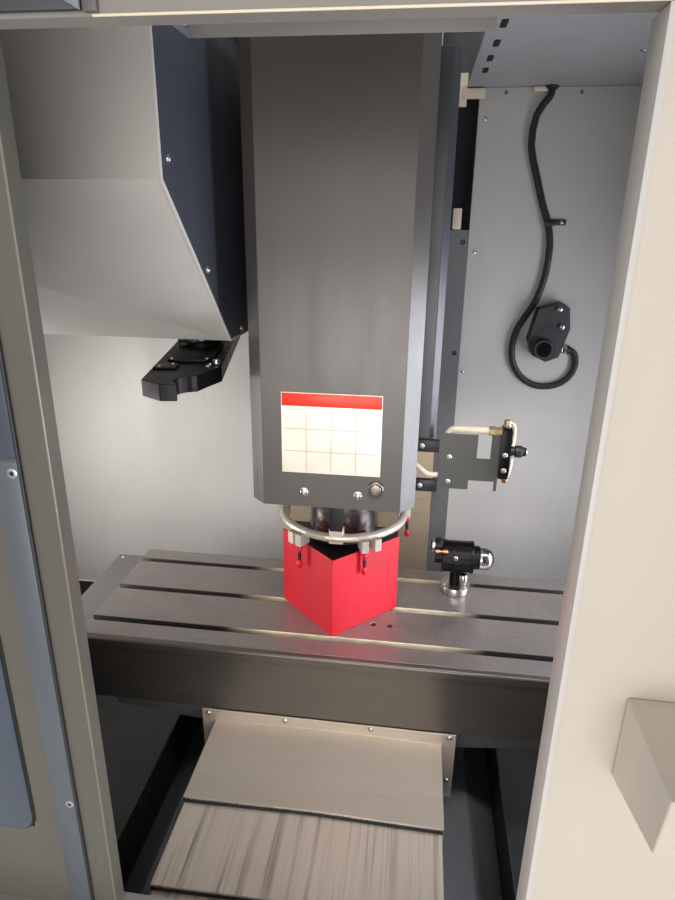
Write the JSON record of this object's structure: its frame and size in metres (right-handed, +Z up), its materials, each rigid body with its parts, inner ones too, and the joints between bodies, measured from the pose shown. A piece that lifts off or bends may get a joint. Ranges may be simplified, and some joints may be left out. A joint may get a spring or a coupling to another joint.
{
  "type": "cnc machining center",
  "caption": "Enclosed vertical machining centre with travelling table, lowered head on a column, sliding doors, side tool changer and control box.",
  "frame": {"origin": "centre of the machine's box on the floor, under its levelling feet", "axes": "+X to the operator's right, +Y from the doors towards the column, +Z up"},
  "size_m": [2, 2.1066, 2.5],
  "materials": {
    "casting": "satin grey machine enamel",
    "steel": "ground steel",
    "stainless": "brushed stainless sheet",
    "light": "light grey powder coat",
    "cream": "cream powder coat",
    "grey": "mid grey powder coat",
    "head": "warm dark grey powder coat",
    "dark": "dark slate powder coat",
    "black": "black",
    "blackmetal": "black oxide",
    "red": "red powder coat",
    "redplastic": "red plastic",
    "brass": "brass",
    "glass": "clear laminated window"
  },
  "bodies": {
    "machine": {"machine_base": "casting", "column": "casting", "z_servo_motor": "blackmetal", "chip_pan": "dark", "left_wall": "cream", "right_wall": "cream", "rear_wall_left": "light", "rear_wall_right": "light", "roof_panel": "light", "front_frame": "light", "front_panel_right": "cream", "column_strip": "dark", "changer_shroud": "light", "changer_side_plate": "dark", "changer_gearbox": "casting", "electrical_cabinet": "light", "receiver": "black", "receiver_cable": "black", "y_cover_fixed": "stainless", "z_cover_fixed": "stainless", "side_shelf": "cream"},
    "cross_slide": {"saddle": "casting", "y_cover_upper": "stainless"},
    "y_cover": {"y_cover_middle": "stainless"},
    "work_table": {"table": "steel", "table_skirt": "stainless", "table_end_left": "light", "table_end_right": "light", "tool_setter": "black"},
    "head": {"head_casting": "casting", "spindle_motor": "blackmetal", "head_cover": "head", "side_duct": "dark", "coolant_ring": "steel", "head_support": "red", "side_bracket": "dark", "air_fitting": "brass", "z_cover_upper": "stainless"},
    "z_cover_second": {"z_cover_middle": "stainless"},
    "z_cover_third": {"z_cover_lower": "stainless"},
    "tool_spindle": {"spindle": "steel"},
    "tool_release": {"release_button": "steel"},
    "left_jet": {"nozzle_left": "redplastic"},
    "front_jet": {"nozzle_front": "redplastic"},
    "right_jet": {"nozzle_right": "redplastic"},
    "x_ball_screw": {"x_screw": "steel"},
    "y_ball_screw": {"y_screw": "steel"},
    "z_ball_screw": {"z_screw": "steel"},
    "arm_shaft": {"changer_shaft": "steel"},
    "arm": {"changer_arm": "blackmetal"},
    "tool_magazine": {"carousel": "steel"},
    "door_left": {"left_door": "grey", "left_window": "glass"},
    "door_right": {"right_door": "grey", "right_window": "glass"},
    "door_cabinet": {"cabinet_door": "light"},
    "control_arm": {"pendant_arm": "grey"},
    "control_box": {"pendant": "grey"},
    "emergency_stop": {"stop_button": "redplastic"},
    "hand_wheel": {"jog_wheel": "black"}
  },
  "joints": [
    {"name": "y_slide", "type": "slide", "parent": "machine", "child": "cross_slide", "axis": [0, 1, 0], "range_m": [-0.158, 0.242]},
    {"name": "x_slide", "type": "slide", "parent": "cross_slide", "child": "work_table", "axis": [1, 0, 0], "range_m": [-0.335, 0.335]},
    {"name": "z_slide", "type": "slide", "parent": "machine", "child": "head", "axis": [0, 0, -1], "range_m": [-0.45, 0]},
    {"name": "y_cover_slide", "type": "slide", "parent": "machine", "child": "y_cover", "axis": [0, 1, 0], "range_m": [-0.08, 0.122]},
    {"name": "z_cover_second_slide", "type": "slide", "parent": "machine", "child": "z_cover_second", "axis": [0, 0, -1], "range_m": [-0.301, 0]},
    {"name": "z_cover_third_slide", "type": "slide", "parent": "machine", "child": "z_cover_third", "axis": [0, 0, -1], "range_m": [-0.151, 0]},
    {"name": "left_door_slide", "type": "slide", "parent": "machine", "child": "door_left", "axis": [1, 0, 0], "range_m": [-0.231, 0.158]},
    {"name": "right_door_slide", "type": "slide", "parent": "machine", "child": "door_right", "axis": [-1, 0, 0], "range_m": [0, 0.403]},
    {"name": "cabinet_hinge", "type": "hinge", "parent": "machine", "child": "door_cabinet", "pos_m": [-0.448, 1.0533, 1.25], "axis": [0, 0, 1], "range_deg": [0, 110]},
    {"name": "spindle_turn", "type": "hinge", "parent": "head", "child": "tool_spindle", "pos_m": [0, -0.1063, 1.05], "axis": [0, 0, 1], "continuous": true},
    {"name": "release_press", "type": "slide", "parent": "head", "child": "tool_release", "axis": [0, 1, 0], "range_m": [0, 0.003], "stiffness_N_per_m": 400},
    {"name": "left_jet_tilt", "type": "hinge", "parent": "head", "child": "left_jet", "pos_m": [-0.07623, -0.23316, 1.0182], "axis": [0.7071, 0.7071, 0], "range_deg": [-25, 25]},
    {"name": "front_jet_tilt", "type": "hinge", "parent": "head", "child": "front_jet", "pos_m": [0.05901, -0.24202, 1.0182], "axis": [0.7071, -0.7071, 0], "range_deg": [-25, 25]},
    {"name": "right_jet_tilt", "type": "hinge", "parent": "head", "child": "right_jet", "pos_m": [0.13994, -0.05812, 1.0182], "axis": [0.7071, -0.7071, 0], "range_deg": [-25, 25]},
    {"name": "x_screw_turn", "type": "hinge", "parent": "cross_slide", "child": "x_ball_screw", "pos_m": [0, -0.1693, 0.735], "axis": [1, 0, 0], "continuous": true},
    {"name": "y_screw_turn", "type": "hinge", "parent": "machine", "child": "y_ball_screw", "pos_m": [0, -0.1693, 0.455], "axis": [0, 1, 0], "continuous": true},
    {"name": "z_screw_turn", "type": "hinge", "parent": "machine", "child": "z_ball_screw", "pos_m": [0, 0.3607, 1.37], "axis": [0, 0, 1], "continuous": true},
    {"name": "arm_lift", "type": "slide", "parent": "machine", "child": "arm_shaft", "axis": [0, 0, 1], "range_m": [-0.1, 0]},
    {"name": "arm_swing", "type": "hinge", "parent": "arm_shaft", "child": "arm", "pos_m": [-0.305, -0.1063, 1.38], "axis": [0, 0, -1], "range_deg": [0, 24]},
    {"name": "magazine_turn", "type": "hinge", "parent": "machine", "child": "tool_magazine", "pos_m": [-0.64, -0.0693, 1.69], "axis": [1, 0, 0], "continuous": true},
    {"name": "control_arm_swing", "type": "hinge", "parent": "machine", "child": "control_arm", "pos_m": [0.78, -0.8493, 1.74], "axis": [0, 0, 1], "range_deg": [-30, 30]},
    {"name": "control_box_swivel", "type": "hinge", "parent": "control_arm", "child": "control_box", "pos_m": [0.78, -0.9893, 1.6497], "axis": [0, 0, -1], "range_deg": [-30, 30]},
    {"name": "stop_press", "type": "slide", "parent": "control_box", "child": "emergency_stop", "axis": [0, 1, 0], "range_m": [0, 0.0045], "stiffness_N_per_m": 400},
    {"name": "hand_wheel_turn", "type": "hinge", "parent": "control_box", "child": "hand_wheel", "pos_m": [0.71, -1.0393, 1.3197], "axis": [0, 1, 0], "continuous": true}
  ],
  "couplings": [
    {"joint": "y_cover_slide", "follows": "y_slide", "ratio": 0.5},
    {"joint": "z_cover_second_slide", "follows": "z_slide", "ratio": 0.6667},
    {"joint": "z_cover_third_slide", "follows": "z_slide", "ratio": 0.3333},
    {"joint": "x_screw_turn", "follows": "x_slide", "rad_per_m": 628.32},
    {"joint": "y_screw_turn", "follows": "y_slide", "rad_per_m": 628.32},
    {"joint": "z_screw_turn", "follows": "z_slide", "rad_per_m": 628.32}
  ]
}
